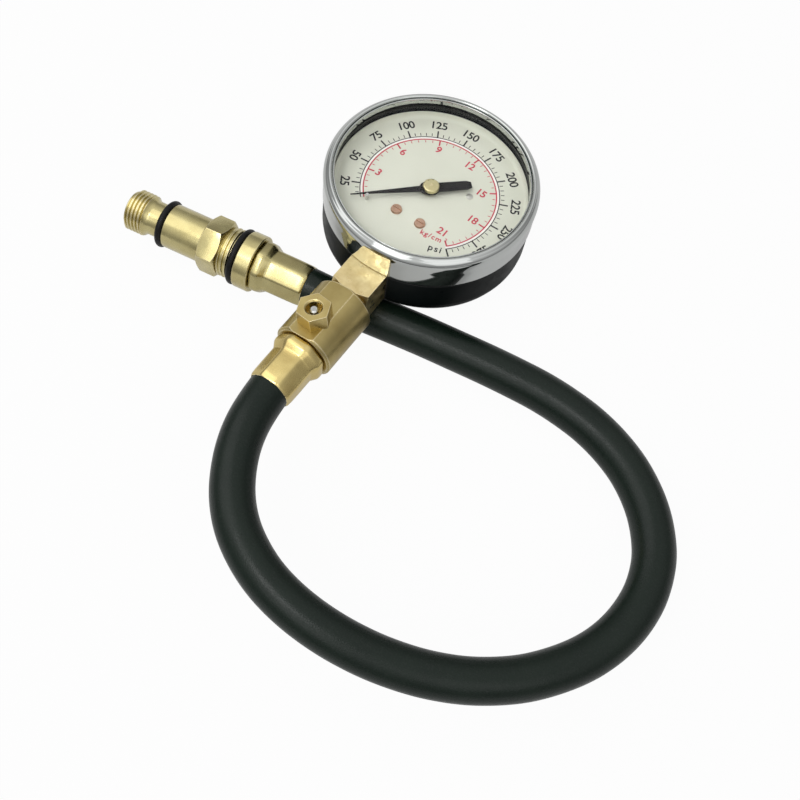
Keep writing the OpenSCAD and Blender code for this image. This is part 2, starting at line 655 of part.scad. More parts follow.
module plug_adapter() {
    color([0.8, 0.67, 0.36]) plug_frame() difference() {
        union() {
            rotate_extrude() polygon([[0, ring_room + 0.02], [7.6, ring_room + 0.02], [8.2, ring_room + 0.6],
                [8.2, hex_a - 0.8], [7.4, hex_a - 0.6], [7.4, hex_a], [0, hex_a]]);
            translate([0, 0, hex_a]) rotate([0, 0, plug_hex_roll]) turned_hexagon(plug_af, hex_b - hex_a);
            rotate_extrude() polygon([[0, hex_b - 1], [barrel_d / 2, hex_b - 1],
                [barrel_d / 2, ring_a - 0.3], [barrel_d / 2 - 0.3, ring_a],
                [plug_neck_r, ring_a], [plug_neck_r, shoulder_a - 1.6],
                [plug_neck_r + 0.15, shoulder_a - 0.9], [plug_neck_r + 0.45, shoulder_a - 0.4],
                [plug_thread_d / 2 - 0.4, shoulder_a], [plug_thread_d / 2, shoulder_a + 0.5],
                [plug_thread_d / 2, tip_end - 1.2], [plug_thread_d / 2 - 1, tip_end], [0, tip_end]]);
        }
        translate([0, 0, 2]) cylinder(d = 11.64, h = 11.8);
        translate([0, 0, 4]) cylinder(d = 3, h = 50);
        translate([0, 0, check_seat - 6.38 - check_lift]) cylinder(d = 5.3, h = 20);
    }
}

module o_ring_small() {
    color([0.05, 0.05, 0.05]) plug_frame() translate([0, 0, ring_a + ring_room / 2])
        o_ring(2 * (plug_neck_r + ring_d) + 0.04, ring_d);
}

module check_valve_core() {
    color([0.72, 0.58, 0.3]) plug_frame() difference() {
        union() {
            translate([0, 0, check_seat - 4.98]) cylinder(d = 5.26, h = 3.6);
            translate([0, 0, check_seat - 1.4]) cylinder(d = 4.4, h = 1.4);
        }
        translate([0, 0, tip_end - 15]) cylinder(d = 1.5, h = 20);
    }
}

module check_valve_pin() {
    color([0.85, 0.82, 0.74]) plug_frame() rotate_extrude() polygon([[0, check_seat - 6.28],
        [0.7, check_seat - 6.28], [0.7, check_seat - 5.98], [1.8, check_seat - 5.98],
        [1.8, check_seat - 5], [0.7, check_seat - 5], [0.7, check_head], [1.4, check_head],
        [1.4, check_head + 0.6], [0.7, check_head + 0.6], [0.7, check_head + 0.7],
        [0, check_head + 0.7]]);
}

module check_valve_spring() {
    color([0.7, 0.7, 0.7]) plug_frame() translate([0, 0, check_seat + 0.04])
        coil(1.1, 0.32, check_head - check_seat - 0.08, 4);
}

gauge_case();
bezel();
window();
window_gasket();
dial_plate();
dial_screws();
zero_stop_pin();
pointer();
pointer_hub();
pinion_arbor();
hairspring();
sector_gear();
sector_arbor();
link();
tube_tip();
pressure_tube();
movement_back_plate();
movement_front_plate();
movement_pillars();
movement_screws();
case_screws();
gauge_socket();
tee_body();
relief_valve_body();
relief_valve_core();
relief_valve_pin();
relief_valve_spring();
ferrule_gauge_end();
hose();
ferrule_plug_end();
hose_end_fitting();
o_ring_large();
plug_adapter();
o_ring_small();
check_valve_core();
check_valve_pin();
check_valve_spring();
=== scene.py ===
"""Compression tester gauge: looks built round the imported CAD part. Millimetres in, metres out."""

import json
import math

import bpy
from mathutils import Matrix, Vector


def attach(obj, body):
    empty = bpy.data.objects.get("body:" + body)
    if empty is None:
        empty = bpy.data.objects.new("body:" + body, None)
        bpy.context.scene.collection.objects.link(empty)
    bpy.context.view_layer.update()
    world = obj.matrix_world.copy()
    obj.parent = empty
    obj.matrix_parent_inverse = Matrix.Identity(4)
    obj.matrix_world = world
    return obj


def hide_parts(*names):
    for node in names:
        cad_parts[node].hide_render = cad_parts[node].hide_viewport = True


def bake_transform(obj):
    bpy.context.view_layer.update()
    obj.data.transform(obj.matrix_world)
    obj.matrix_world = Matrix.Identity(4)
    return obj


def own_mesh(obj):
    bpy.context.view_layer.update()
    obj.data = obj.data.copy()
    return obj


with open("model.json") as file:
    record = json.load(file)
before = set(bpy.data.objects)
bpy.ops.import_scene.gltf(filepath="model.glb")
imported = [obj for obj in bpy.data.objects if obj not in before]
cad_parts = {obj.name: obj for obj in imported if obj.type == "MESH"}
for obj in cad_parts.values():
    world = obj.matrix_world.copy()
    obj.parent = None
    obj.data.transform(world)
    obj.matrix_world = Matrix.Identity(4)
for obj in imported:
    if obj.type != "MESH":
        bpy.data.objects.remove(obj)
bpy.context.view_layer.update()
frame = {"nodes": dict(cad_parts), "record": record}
nodes = frame["nodes"]

MM = 0.001
TURN = 2 * math.pi
# Points closer than this, in metres, are merged
MERGE = 2e-6

# Sizes of the part in millimetres and rolls in degrees. Heights are measured from the gauge's back,
# places along the stem from the gauge's axis, and places along the plug end from the collar's outer face.
DIAL_Z = 18.8
BEZEL_R = 33.2
LIP_R = BEZEL_R - 3.3
DIAL_R = BEZEL_R - 2.8
RIM = 2.2
STEM_H = 10.0
TEE_END = 65.5
FERRULE = 16.0
MOUTH = TEE_END + FERRULE
BULGE_R = 8.5
CRIMP_R = 6.75
CRIMP_START = 5.4
CRIMP_LIP = 0.8
FLATS = 8
RIDGE = 0.8
COLLAR = 5.3
RING_ROOM = 2.24
PLUG_FERRULE = 17.6
PLUG_MOUTH = -(COLLAR + PLUG_FERRULE)
HEX_A = 6.4
HEX_B = HEX_A + 6.8
RING_A = HEX_B + 13.2
SHOULDER = RING_A + 7.5
TIP = SHOULDER + 6.8
PLUG_HEX = 16.3
PLUG_HEX_ROLL = 32.5
BARREL_R = 7.2
RING_SEAT_R = 5.6
BACK_R = 7.7
UNDER_HEX_R = 7.0
SPIGOT_BORE_R = 5.84
SPIGOT_BORE_END = 14.0
VALVE_BORE_R = 2.65
VALVE_BORE_DEEP = 12
CHANNEL_R = 1.5
PLUG_THREAD_R = 6.8
PLUG_THREAD_PITCH = 1.25
BACK_THREAD_R = 8.2
BACK_THREAD_PITCH = 1.4
HOSE_R = 6.35
HOSE_IN = 2.5

# Frames of the gauge, the stem and the plug end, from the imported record
record = frame["record"]
joints = {joint["name"]: joint for joint in record["behaviour"]["joints"]}
plug_mount = record["mounts"][0]
dial_axis = -Vector(joints["pointer_turn"]["axis"])
gauge_origin = Vector(joints["pointer_turn"]["pos_m"]) - dial_axis * DIAL_Z * MM
plug_axis = Vector(plug_mount["axis"])
thread_middle = (SHOULDER + 0.5 + TIP - 1.2) / 2
plug_origin = Vector(plug_mount["pos_m"]) - plug_axis * thread_middle * MM
gauge_lean = math.atan2(dial_axis.y, dial_axis.z)
GAUGE = Matrix.Translation(gauge_origin) @ Matrix.Rotation(-gauge_lean, 4, "X")
STEM = GAUGE @ Matrix.Translation((0, 0, STEM_H * MM)) @ Matrix.Rotation(math.pi / 2, 4, "X")
PLUG = (
    Matrix.Translation(plug_origin)
    @ Matrix.Rotation(math.atan2(plug_axis.y, plug_axis.x), 4, "Z")
    @ Matrix.Rotation(math.pi / 2, 4, "Y")
)
GAUGE_Y = gauge_origin.y / MM

# Hose points between the two mouths, relative to the gauge's axis
FREE_RUN = [
    (1.6, -89.5, 30.0), (4.6, -98.5, 31.0), (9.4, -106.9, 31.6), (15.1, -113.3, 31.9),
    (21.8, -118.1, 32.0), (30.3, -121.9, 31.9), (39.3, -124.0, 31.6), (49.2, -124.7, 31.0),
    (59.7, -124.0, 29.9), (70.8, -121.8, 28.4), (82.5, -117.7, 26.5), (93.8, -111.4, 24.1),
    (104.6, -102.2, 21.3), (113.6, -89.8, 18.1), (118.2, -77.5, 15.6), (119.1, -65.3, 13.4),
    (116.6, -54.6, 11.6), (112.0, -46.5, 10.2), (105.6, -39.5, 9.0), (97.4, -33.7, 8.0),
    (88.5, -29.8, 7.3), (79.1, -27.4, 6.8), (69.8, -26.5, 6.5), (61.2, -26.5, 6.4),
    (52.2, -27.3, 6.36), (43.2, -28.4, 6.36), (33.2, -29.9, 6.36), (22.2, -31.6, 6.36),
    (11.2, -33.6, 6.4), (0.2, -36.0, 7.1), (-8.4, -38.1, 8.3),
]


# Modelling helpers

def deselect():
    bpy.ops.object.select_all(action="DESELECT")


def only(piece):
    """Selects one piece alone and makes it the active one."""
    deselect()
    piece.select_set(True)
    bpy.context.view_layer.objects.active = piece


def enter():
    bpy.ops.object.mode_set(mode="EDIT")


def leave():
    bpy.ops.object.mode_set(mode="OBJECT")


def edit(piece):
    """Goes into edit mode on one piece, with everything in it selected."""
    only(piece)
    enter()
    bpy.ops.mesh.select_mode(type="VERT")
    bpy.ops.mesh.select_all(action="SELECT")


def finish_modifier(piece, kind, **settings):
    """Adds one modifier with its settings and applies it."""
    only(piece)
    modifier = piece.modifiers.new(kind.title(), kind)
    for key, value in settings.items():
        setattr(modifier, key, value)
    bpy.ops.object.modifier_apply(modifier=modifier.name)


def settle(piece, place, angle=32):
    """Puts a piece that was modelled at the origin where it belongs, with its place in its mesh."""
    only(piece)
    piece.matrix_world = place
    bpy.ops.object.transform_apply(location=True, rotation=True, scale=True)
    bpy.ops.object.shade_smooth_by_angle(angle=math.radians(angle))
    return piece


def start_point(name):
    """A new mesh of a single point at the origin, left in edit mode."""
    deselect()
    bpy.ops.mesh.primitive_plane_add(size=MM, location=(0, 0, 0))
    piece = bpy.context.object
    piece.name = name
    edit(piece)
    bpy.ops.mesh.merge(type="CENTER")
    return piece


def draw_line(points):
    """Extrudes the single selected point along a line of points."""
    bpy.ops.transform.translate(value=points[0])
    for a, b in zip(points, points[1:]):
        bpy.ops.mesh.extrude_vertices_move(TRANSFORM_OT_translate={"value": b - a})


def close_up():
    """Merges doubles and turns the faces outwards."""
    bpy.ops.mesh.select_all(action="SELECT")
    bpy.ops.mesh.remove_doubles(threshold=MERGE)
    bpy.ops.mesh.normals_make_consistent(inside=False)


def turned(name, profile, place, steps=96, angle=32):
    """A piece made on a lathe: its profile, as radius and height, spun round the axis."""
    piece = start_point(name)
    draw_line([Vector((r * MM, 0, h * MM)) for r, h in profile])
    bpy.ops.mesh.select_all(action="SELECT")
    bpy.ops.mesh.spin(steps=steps, angle=TURN, center=(0, 0, 0), axis=(0, 0, 1))
    close_up()
    leave()
    return settle(piece, place, angle)


def arc(cx, cy, r, first, last, count):
    """Points on an arc of a profile, from one angle to another in degrees."""
    step = (last - first) / count
    angles = [math.radians(first + step * k) for k in range(count + 1)]
    return [(cx + r * math.cos(a), cy + r * math.sin(a)) for a in angles]


def copied(node, name):
    """A copy of a CAD node, which stands for it."""
    piece = bpy.data.objects.new(name, nodes[node].data.copy())
    bpy.context.scene.collection.objects.link(piece)
    piece.data.materials.clear()
    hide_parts(node)
    return piece


def eased(node, name, width, segments=2, angle=28):
    """A copy of a CAD node with its sharp edges broken, as a machined piece has them."""
    piece = copied(node, name)
    edit(piece)
    bpy.ops.mesh.remove_doubles(threshold=MERGE)
    bpy.ops.mesh.dissolve_limited(angle_limit=math.radians(0.4))
    bpy.ops.mesh.select_all(action="SELECT")
    bpy.ops.mesh.normals_make_consistent(inside=False)
    leave()
    finish_modifier(piece, "BEVEL", width=width * MM, segments=segments, limit_method="ANGLE",
                    angle_limit=math.radians(angle), use_clamp_overlap=True)
    bpy.ops.object.shade_smooth_by_angle(angle=math.radians(angle))
    finish_modifier(piece, "WEIGHTED_NORMAL", keep_sharp=True)
    return piece


def join(pieces, name):
    """Joins pieces into the first of them."""
    deselect()
    for piece in pieces:
        piece.select_set(True)
    bpy.context.view_layer.objects.active = pieces[0]
    bpy.ops.object.join()
    pieces[0].name = name
    return pieces[0]


def dress(piece, body, material):
    """Gives a piece its material and the body that it rides on."""
    piece.data.materials.clear()
    piece.data.materials.append(material)
    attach(piece, body)
    return piece


# Shared effects as node groups

def new_group(name, inputs, outputs):
    """An empty node group with its sockets, its input node and its output node."""
    group = bpy.data.node_groups.new(name, "ShaderNodeTree")
    for label, kind, value in inputs:
        socket = group.interface.new_socket(label, in_out="INPUT", socket_type=kind)
        socket.default_value = value
    for label, kind in outputs:
        group.interface.new_socket(label, in_out="OUTPUT", socket_type=kind)
    return group, group.nodes.new("NodeGroupInput"), group.nodes.new("NodeGroupOutput")


def math_node(tree, operation, a, b):
    """One step of arithmetic on two values, each a number or an output of another node."""
    node = tree.nodes.new("ShaderNodeMath")
    node.operation = operation
    for socket, value in zip(node.inputs, (a, b)):
        if isinstance(value, (int, float)):
            socket.default_value = value
        else:
            tree.links.new(value, socket)
    return node.outputs[0]


def noise_node(tree, vector, scale, detail=4.0, rough=0.55):
    node = tree.nodes.new("ShaderNodeTexNoise")
    node.inputs["Detail"].default_value = detail
    node.inputs["Roughness"].default_value = rough
    if isinstance(scale, (int, float)):
        node.inputs["Scale"].default_value = scale
    else:
        tree.links.new(scale, node.inputs["Scale"])
    tree.links.new(vector, node.inputs["Vector"])
    return node.outputs["Fac"]


def make_mottle():
    """Soft patches: a value between Low and High that changes slowly over the surface."""
    group, given, result = new_group(
        "mottle",
        [("Vector", "NodeSocketVector", (0, 0, 0)), ("Scale", "NodeSocketFloat", 200.0),
         ("Low", "NodeSocketFloat", 0.2), ("High", "NodeSocketFloat", 0.4)],
        [("Value", "NodeSocketFloat")],
    )
    fac = noise_node(group, given.outputs["Vector"], given.outputs["Scale"])
    spread = group.nodes.new("ShaderNodeMapRange")
    spread.inputs["From Min"].default_value = 0.3
    spread.inputs["From Max"].default_value = 0.7
    group.links.new(fac, spread.inputs["Value"])
    group.links.new(given.outputs["Low"], spread.inputs["To Min"])
    group.links.new(given.outputs["High"], spread.inputs["To Max"])
    group.links.new(spread.outputs["Result"], result.inputs["Value"])
    return group


def make_tool_marks():
    """Fine lines round a turned piece, whose axis is the vector's Z."""
    group, given, result = new_group(
        "tool_marks",
        [("Vector", "NodeSocketVector", (0, 0, 0)), ("Scale", "NodeSocketFloat", 3000.0)],
        [("Height", "NodeSocketFloat")],
    )
    stretch = group.nodes.new("ShaderNodeMapping")
    stretch.inputs["Scale"].default_value = (0.03, 0.03, 1.0)
    group.links.new(given.outputs["Vector"], stretch.inputs["Vector"])
    fac = noise_node(group, stretch.outputs["Vector"], given.outputs["Scale"], 2.0, 0.6)
    group.links.new(fac, result.inputs["Height"])
    return group


def make_worn_edges():
    """A mask that is high along edges, where handling has rubbed the surface; on the brass it also paints
    a bright highlight line along edges, as on the tee's flat.
    """
    group, given, result = new_group(
        "worn_and_highlit_edges",
        [("Vector", "NodeSocketVector", (0, 0, 0)), ("Radius", "NodeSocketFloat", 0.0004)],
        [("Mask", "NodeSocketFloat")],
    )
    bevel = group.nodes.new("ShaderNodeBevel")
    bevel.samples = 4
    group.links.new(given.outputs["Radius"], bevel.inputs["Radius"])
    geometry = group.nodes.new("ShaderNodeNewGeometry")
    dot = group.nodes.new("ShaderNodeVectorMath")
    dot.operation = "DOT_PRODUCT"
    group.links.new(bevel.outputs["Normal"], dot.inputs[0])
    group.links.new(geometry.outputs["Normal"], dot.inputs[1])
    edge = math_node(group, "SUBTRACT", 1.0, dot.outputs["Value"])
    strong = math_node(group, "MULTIPLY", edge, 48.0)
    fac = noise_node(group, given.outputs["Vector"], 900.0)
    broken = math_node(group, "MULTIPLY", strong, fac)
    clamp = group.nodes.new("ShaderNodeClamp")
    group.links.new(broken, clamp.inputs["Value"])
    group.links.new(clamp.outputs["Result"], result.inputs["Mask"])
    return group


MOTTLE = make_mottle()
TOOL_MARKS = make_tool_marks()
WORN_AND_HIGHLIT_EDGES = make_worn_edges()


# Materials

# Green and blue of the brass, next to the same red
PLAIN = (0.48, 0.2)
WARM = (0.465, 0.195)
PALE = (0.51, 0.24)
HUB_HUE = (0.53, 0.3)


def new_material(name, colour, metallic, roughness):
    """A material with its mean values, to which the nodes then add what varies."""
    material = bpy.data.materials.new(name)
    material.use_nodes = True
    shader = material.node_tree.nodes["Principled BSDF"]
    shader.inputs["Base Color"].default_value = (*colour, 1)
    shader.inputs["Metallic"].default_value = metallic
    shader.inputs["Roughness"].default_value = roughness
    coordinates = material.node_tree.nodes.new("ShaderNodeTexCoord")
    return material, material.node_tree, shader, coordinates.outputs["Object"]


def use(tree, group, vector, **values):
    """Places a shared node group in a material, with its own values."""
    node = tree.nodes.new("ShaderNodeGroup")
    node.node_tree = group
    tree.links.new(vector, node.inputs["Vector"])
    for key, value in values.items():
        node.inputs[key].default_value = value
    return node.outputs[0]


def blend_colour(tree, shader, mask, first, second):
    """Base colour between two colours by a mask."""
    mix = tree.nodes.new("ShaderNodeMix")
    mix.data_type = "RGBA"
    tree.links.new(mask, mix.inputs["Factor"])
    for socket, value in ((mix.inputs["A"], first), (mix.inputs["B"], second)):
        if isinstance(value, tuple):
            socket.default_value = (*value, 1)
        else:
            tree.links.new(value, socket)
    tree.links.new(mix.outputs["Result"], shader.inputs["Base Color"])
    return mix.outputs["Result"]


def bump(tree, shader, height, strength, distance):
    node = tree.nodes.new("ShaderNodeBump")
    node.inputs["Strength"].default_value = strength
    node.inputs["Distance"].default_value = distance
    tree.links.new(height, node.inputs["Height"])
    tree.links.new(node.outputs["Normal"], shader.inputs["Normal"])


def turn_vector(tree, vector, place):
    """The coordinates turned into a piece's own frame, so that its axis is Z."""
    mapping = tree.nodes.new("ShaderNodeMapping")
    back = place.inverted()
    mapping.inputs["Location"].default_value = back.to_translation()
    mapping.inputs["Rotation"].default_value = back.to_euler("XYZ")
    tree.links.new(vector, mapping.inputs["Vector"])
    return mapping.outputs["Vector"]


def brass(name, place, low=0.16, high=0.34, marks=0.25, tone=1.0, edge=0.35, hue=PLAIN, coat=0.3):
    """Turned brass with tool marks, tarnish, a thin lacquer coat, and lighter edges that are partly
    rubbed wear and partly a painted highlight line; its tone brightens or darkens each copy as painted
    light and shade.
    """
    material, tree, shader, vector = new_material(name, (0.6, 0.46, 0.21), 1.0, 0.3)
    tarnish = use(tree, MOTTLE, vector, Scale=140.0, Low=0.0, High=1.0)
    green, blue = hue
    fresh = (0.58 * tone, green * tone, blue * tone)
    dull = (0.46 * tone, 0.76 * green * tone, 0.7 * blue * tone)
    rubbed_and_highlit = (0.8, 0.7, 0.44)
    colour = blend_colour(tree, shader, tarnish, fresh, dull)
    # Lighter edges: rubbed wear, and also a painted highlight line where a lamp would catch the rounded
    # edge
    edge_mask = use(tree, WORN_AND_HIGHLIT_EDGES, vector, Radius=edge * MM)
    blend_colour(tree, shader, edge_mask, colour, rubbed_and_highlit)
    shader.inputs["Coat Weight"].default_value = coat
    shader.inputs["Coat Roughness"].default_value = 0.12
    rough = use(tree, MOTTLE, vector, Scale=260.0, Low=low, High=high)
    tree.links.new(rough, shader.inputs["Roughness"])
    height = use(tree, TOOL_MARKS, turn_vector(tree, vector, place), Scale=2600.0)
    bump(tree, shader, height, marks, 0.00004)
    return material


def cast_brass():
    material, tree, shader, vector = new_material("cast_brass", (0.6, 0.46, 0.21), 1.0, 0.4)
    tarnish = use(tree, MOTTLE, vector, Scale=320.0, Low=0.0, High=1.0)
    # Both colours are lifted well above the other brass: painted light standing in for the bright
    # reflection on the stem's top
    colour = blend_colour(tree, shader, tarnish, (0.82, 0.68, 0.37), (0.64, 0.5, 0.24))
    edge_mask = use(tree, WORN_AND_HIGHLIT_EDGES, vector, Radius=0.0004)
    blend_colour(tree, shader, edge_mask, colour, (0.76, 0.66, 0.41))
    rough = use(tree, MOTTLE, vector, Scale=500.0, Low=0.24, High=0.5)
    tree.links.new(rough, shader.inputs["Roughness"])
    height = noise_node(tree, vector, 420.0, 5.0, 0.6)
    bump(tree, shader, height, 0.22, 0.0003)
    return material


def chrome():
    material, tree, shader, vector = new_material("chrome_plate", (0.55, 0.565, 0.552), 1.0, 0.05)
    rough = use(tree, MOTTLE, vector, Scale=60.0, Low=0.035, High=0.075)
    tree.links.new(rough, shader.inputs["Roughness"])
    tone = use(tree, MOTTLE, vector, Scale=25.0, Low=0.0, High=1.0)
    blend_colour(tree, shader, tone, (0.555, 0.572, 0.558), (0.475, 0.49, 0.478))
    return material


def satin_black():
    material, tree, shader, vector = new_material("satin_black_paint", (0.006, 0.007, 0.007), 0.0, 0.35)
    shader.inputs["Specular IOR Level"].default_value = 0.04
    tone = use(tree, MOTTLE, vector, Scale=90.0, Low=0.0, High=1.0)
    colour = blend_colour(tree, shader, tone, (0.004, 0.006, 0.006), (0.008, 0.010, 0.010))
    edge_mask = use(tree, WORN_AND_HIGHLIT_EDGES, vector, Radius=0.0005)
    blend_colour(tree, shader, edge_mask, colour, (0.05, 0.05, 0.05))
    rough = use(tree, MOTTLE, vector, Scale=300.0, Low=0.27, High=0.4)
    tree.links.new(rough, shader.inputs["Roughness"])
    bump(tree, shader, noise_node(tree, vector, 1400.0, 2.0), 0.12, 0.0002)
    return material


def hose_rubber():
    material, tree, shader, vector = new_material("hose_cover_rubber", (0.009, 0.016, 0.012), 0.0, 0.5)
    shader.inputs["Specular IOR Level"].default_value = 0.24
    tone = use(tree, MOTTLE, vector, Scale=70.0, Low=0.0, High=1.0)
    dust = use(tree, MOTTLE, vector, Scale=1600.0, Low=-0.5, High=0.6)
    colour = blend_colour(tree, shader, tone, (0.005, 0.012, 0.008), (0.009, 0.018, 0.012))
    blend_colour(tree, shader, dust, colour, (0.017, 0.025, 0.02))
    rough = use(tree, MOTTLE, vector, Scale=240.0, Low=0.25, High=0.34)
    tree.links.new(rough, shader.inputs["Roughness"])
    bump(tree, shader, noise_node(tree, vector, 2400.0, 3.0), 0.25, 0.0002)
    return material


def ring_rubber():
    material, tree, shader, vector = new_material("ring_rubber", (0.006, 0.006, 0.006), 0.0, 0.4)
    shader.inputs["Specular IOR Level"].default_value = 0.2
    rough = use(tree, MOTTLE, vector, Scale=500.0, Low=0.3, High=0.5)
    tree.links.new(rough, shader.inputs["Roughness"])
    tone = use(tree, MOTTLE, vector, Scale=400.0, Low=0.0, High=1.0)
    blend_colour(tree, shader, tone, (0.005, 0.005, 0.005), (0.010, 0.010, 0.010))
    bump(tree, shader, noise_node(tree, vector, 3000.0, 2.0), 0.15, 0.0001)
    return material


def dial_paint():
    material, tree, shader, vector = new_material("dial_paint", (0.66, 0.67, 0.58), 0.0, 0.5)
    shader.inputs["Specular IOR Level"].default_value = 0.3
    tone = use(tree, MOTTLE, vector, Scale=45.0, Low=0.0, High=1.0)
    blend_colour(tree, shader, tone, (0.67, 0.685, 0.59), (0.635, 0.65, 0.555))
    rough = use(tree, MOTTLE, vector, Scale=800.0, Low=0.42, High=0.55)
    tree.links.new(rough, shader.inputs["Roughness"])
    return material


def ink(name, first, second):
    material, tree, shader, vector = new_material(name, first, 0.0, 0.55)
    shader.inputs["Specular IOR Level"].default_value = 0.12
    tone = use(tree, MOTTLE, vector, Scale=1200.0, Low=0.0, High=1.0)
    blend_colour(tree, shader, tone, first, second)
    return material


def clear_glass():
    material, tree, shader, _ = new_material("clear_glass", (1.0, 1.0, 0.995), 0.0, 0.02)
    shader.inputs["Transmission Weight"].default_value = 1.0
    shader.inputs["IOR"].default_value = 1.2
    path = tree.nodes.new("ShaderNodeLightPath")
    through = tree.nodes.new("ShaderNodeBsdfTransparent")
    mix = tree.nodes.new("ShaderNodeMixShader")
    tree.links.new(path.outputs["Is Shadow Ray"], mix.inputs["Fac"])
    tree.links.new(shader.outputs["BSDF"], mix.inputs[1])
    tree.links.new(through.outputs["BSDF"], mix.inputs[2])
    tree.links.new(mix.outputs["Shader"], tree.nodes["Material Output"].inputs["Surface"])
    return material


def bright_metal(name, first, second, low, high):
    material, tree, shader, vector = new_material(name, first, 1.0, low)
    tone = use(tree, MOTTLE, vector, Scale=700.0, Low=0.0, High=1.0)
    colour = blend_colour(tree, shader, tone, first, second)
    edge_mask = use(tree, WORN_AND_HIGHLIT_EDGES, vector, Radius=0.0002)
    lighter = tuple(min(1.0, c * 1.2) for c in first)
    blend_colour(tree, shader, edge_mask, colour, lighter)
    rough = use(tree, MOTTLE, vector, Scale=900.0, Low=low, High=high)
    tree.links.new(rough, shader.inputs["Roughness"])
    return material


# The tones brighten or darken copies of the same brass: painted light on the stem-side ferrule, painted
# shade on the tee and the plug-side ferrule
BRASS_STEM = brass("brass_stem", STEM, 0.28, 0.4, tone=0.8, edge=0.6, hue=WARM, coat=0.0)
BRASS_VALVE = brass("brass_valve", STEM, 0.24, 0.36, 0.1, tone=1.05, hue=WARM, coat=0.1)
BRASS_PLUG = brass("brass_plug", PLUG, tone=1.05, hue=PALE, coat=0.5)
BRASS_CRIMP_STEM = brass("brass_crimped_stem", STEM, 0.16, 0.28, 0.1, tone=1.3, hue=WARM, coat=0.1)
BRASS_CRIMP_PLUG = brass("brass_crimped_plug", PLUG, 0.2, 0.34, 0.1, tone=0.92, hue=PALE, coat=0.4)
BRASS_MOVEMENT = brass("brass_movement", GAUGE, 0.2, 0.4)
BRASS_HUB = brass("brass_hub", GAUGE, 0.24, 0.4, tone=1.2, hue=HUB_HUE)
CAST_BRASS = cast_brass()
CHROME = chrome()
BLACK_PAINT = satin_black()
HOSE_COVER = hose_rubber()
RUBBER = ring_rubber()
DIAL_PAINT = dial_paint()
BLACK_INK = ink("black_ink", (0.012, 0.012, 0.014), (0.03, 0.03, 0.032))
RED_INK = ink("red_ink", (0.47, 0.03, 0.06), (0.55, 0.06, 0.09))
WHITE_INK = ink("white_ink", (0.86, 0.84, 0.8), (0.82, 0.8, 0.76))
GLASS = clear_glass()
STEEL = bright_metal("pin_steel", (0.62, 0.62, 0.6), (0.5, 0.5, 0.49), 0.12, 0.3)
COPPER = bright_metal("screw_copper", (0.56, 0.37, 0.27), (0.4, 0.25, 0.17), 0.4, 0.55)
NEEDLE_BLACK = ink("needle_black", (0.008, 0.008, 0.009), (0.018, 0.018, 0.018))
RIVET_GREY = bright_metal("rivet_grey", (0.6, 0.6, 0.55), (0.48, 0.48, 0.44), 0.4, 0.55)


# Hose

def on_stem(along):
    return STEM @ Vector((0, 0, along * MM))


def on_plug(along):
    return PLUG @ Vector((0, 0, along * MM))


def smooth_line(points, parts):
    """A smooth curve through the points, with so many parts between each pair."""
    line = []
    last = len(points) - 1
    for i in range(last):
        a = points[max(0, i - 1)]
        b = points[i]
        c = points[i + 1]
        d = points[min(last, i + 2)]
        for k in range(parts):
            u = k / parts
            line.append(0.5 * (2 * b + (c - a) * u + (2 * a - 5 * b + 4 * c - d) * u * u
                               + (3 * b - a - 3 * c + d) * u * u * u))
    line.append(points[last])
    return line


def make_hose():
    """The hose from inside one ferrule to inside the other, and the line that it follows."""
    route = [on_stem(TEE_END + HOSE_IN), on_stem(TEE_END + 8), on_stem(MOUTH)]
    route += [Vector((x, y + GAUGE_Y, z)) * MM for x, y, z in FREE_RUN]
    route += [on_plug(PLUG_MOUTH), on_plug(PLUG_MOUTH + 9), on_plug(-COLLAR - HOSE_IN)]
    line = smooth_line(route, 8)
    curve = bpy.data.curves.new("hose_line", "CURVE")
    curve.dimensions = "3D"
    curve.bevel_depth = HOSE_R * MM
    curve.bevel_resolution = 10
    curve.use_fill_caps = True
    spline = curve.splines.new("POLY")
    spline.points.add(len(line) - 1)
    for place, point in zip(spline.points, line):
        place.co = (*point, 1)
    hose = bpy.data.objects.new("hose_tube", curve)
    bpy.context.scene.collection.objects.link(hose)
    only(hose)
    bpy.ops.object.convert(target="MESH")
    hose = bpy.context.object
    edit(hose)
    close_up()
    leave()
    settle(hose, Matrix.Identity(4), 40)
    return hose, line


hose, hose_line = make_hose()
hose_length = sum((b - a).length for a, b in zip(hose_line, hose_line[1:]))
dress(hose, "tester", HOSE_COVER)
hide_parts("hose")


# Crimped ferrules

def rim_ring(piece, top):
    """Selects the open ring at the top or the bottom of a piece, outside edit mode."""
    heights = [v.co.z for v in piece.data.vertices]
    limit = max(heights) if top else min(heights)
    for vertex in piece.data.vertices:
        vertex.select = abs(vertex.co.z - limit) < 1e-6


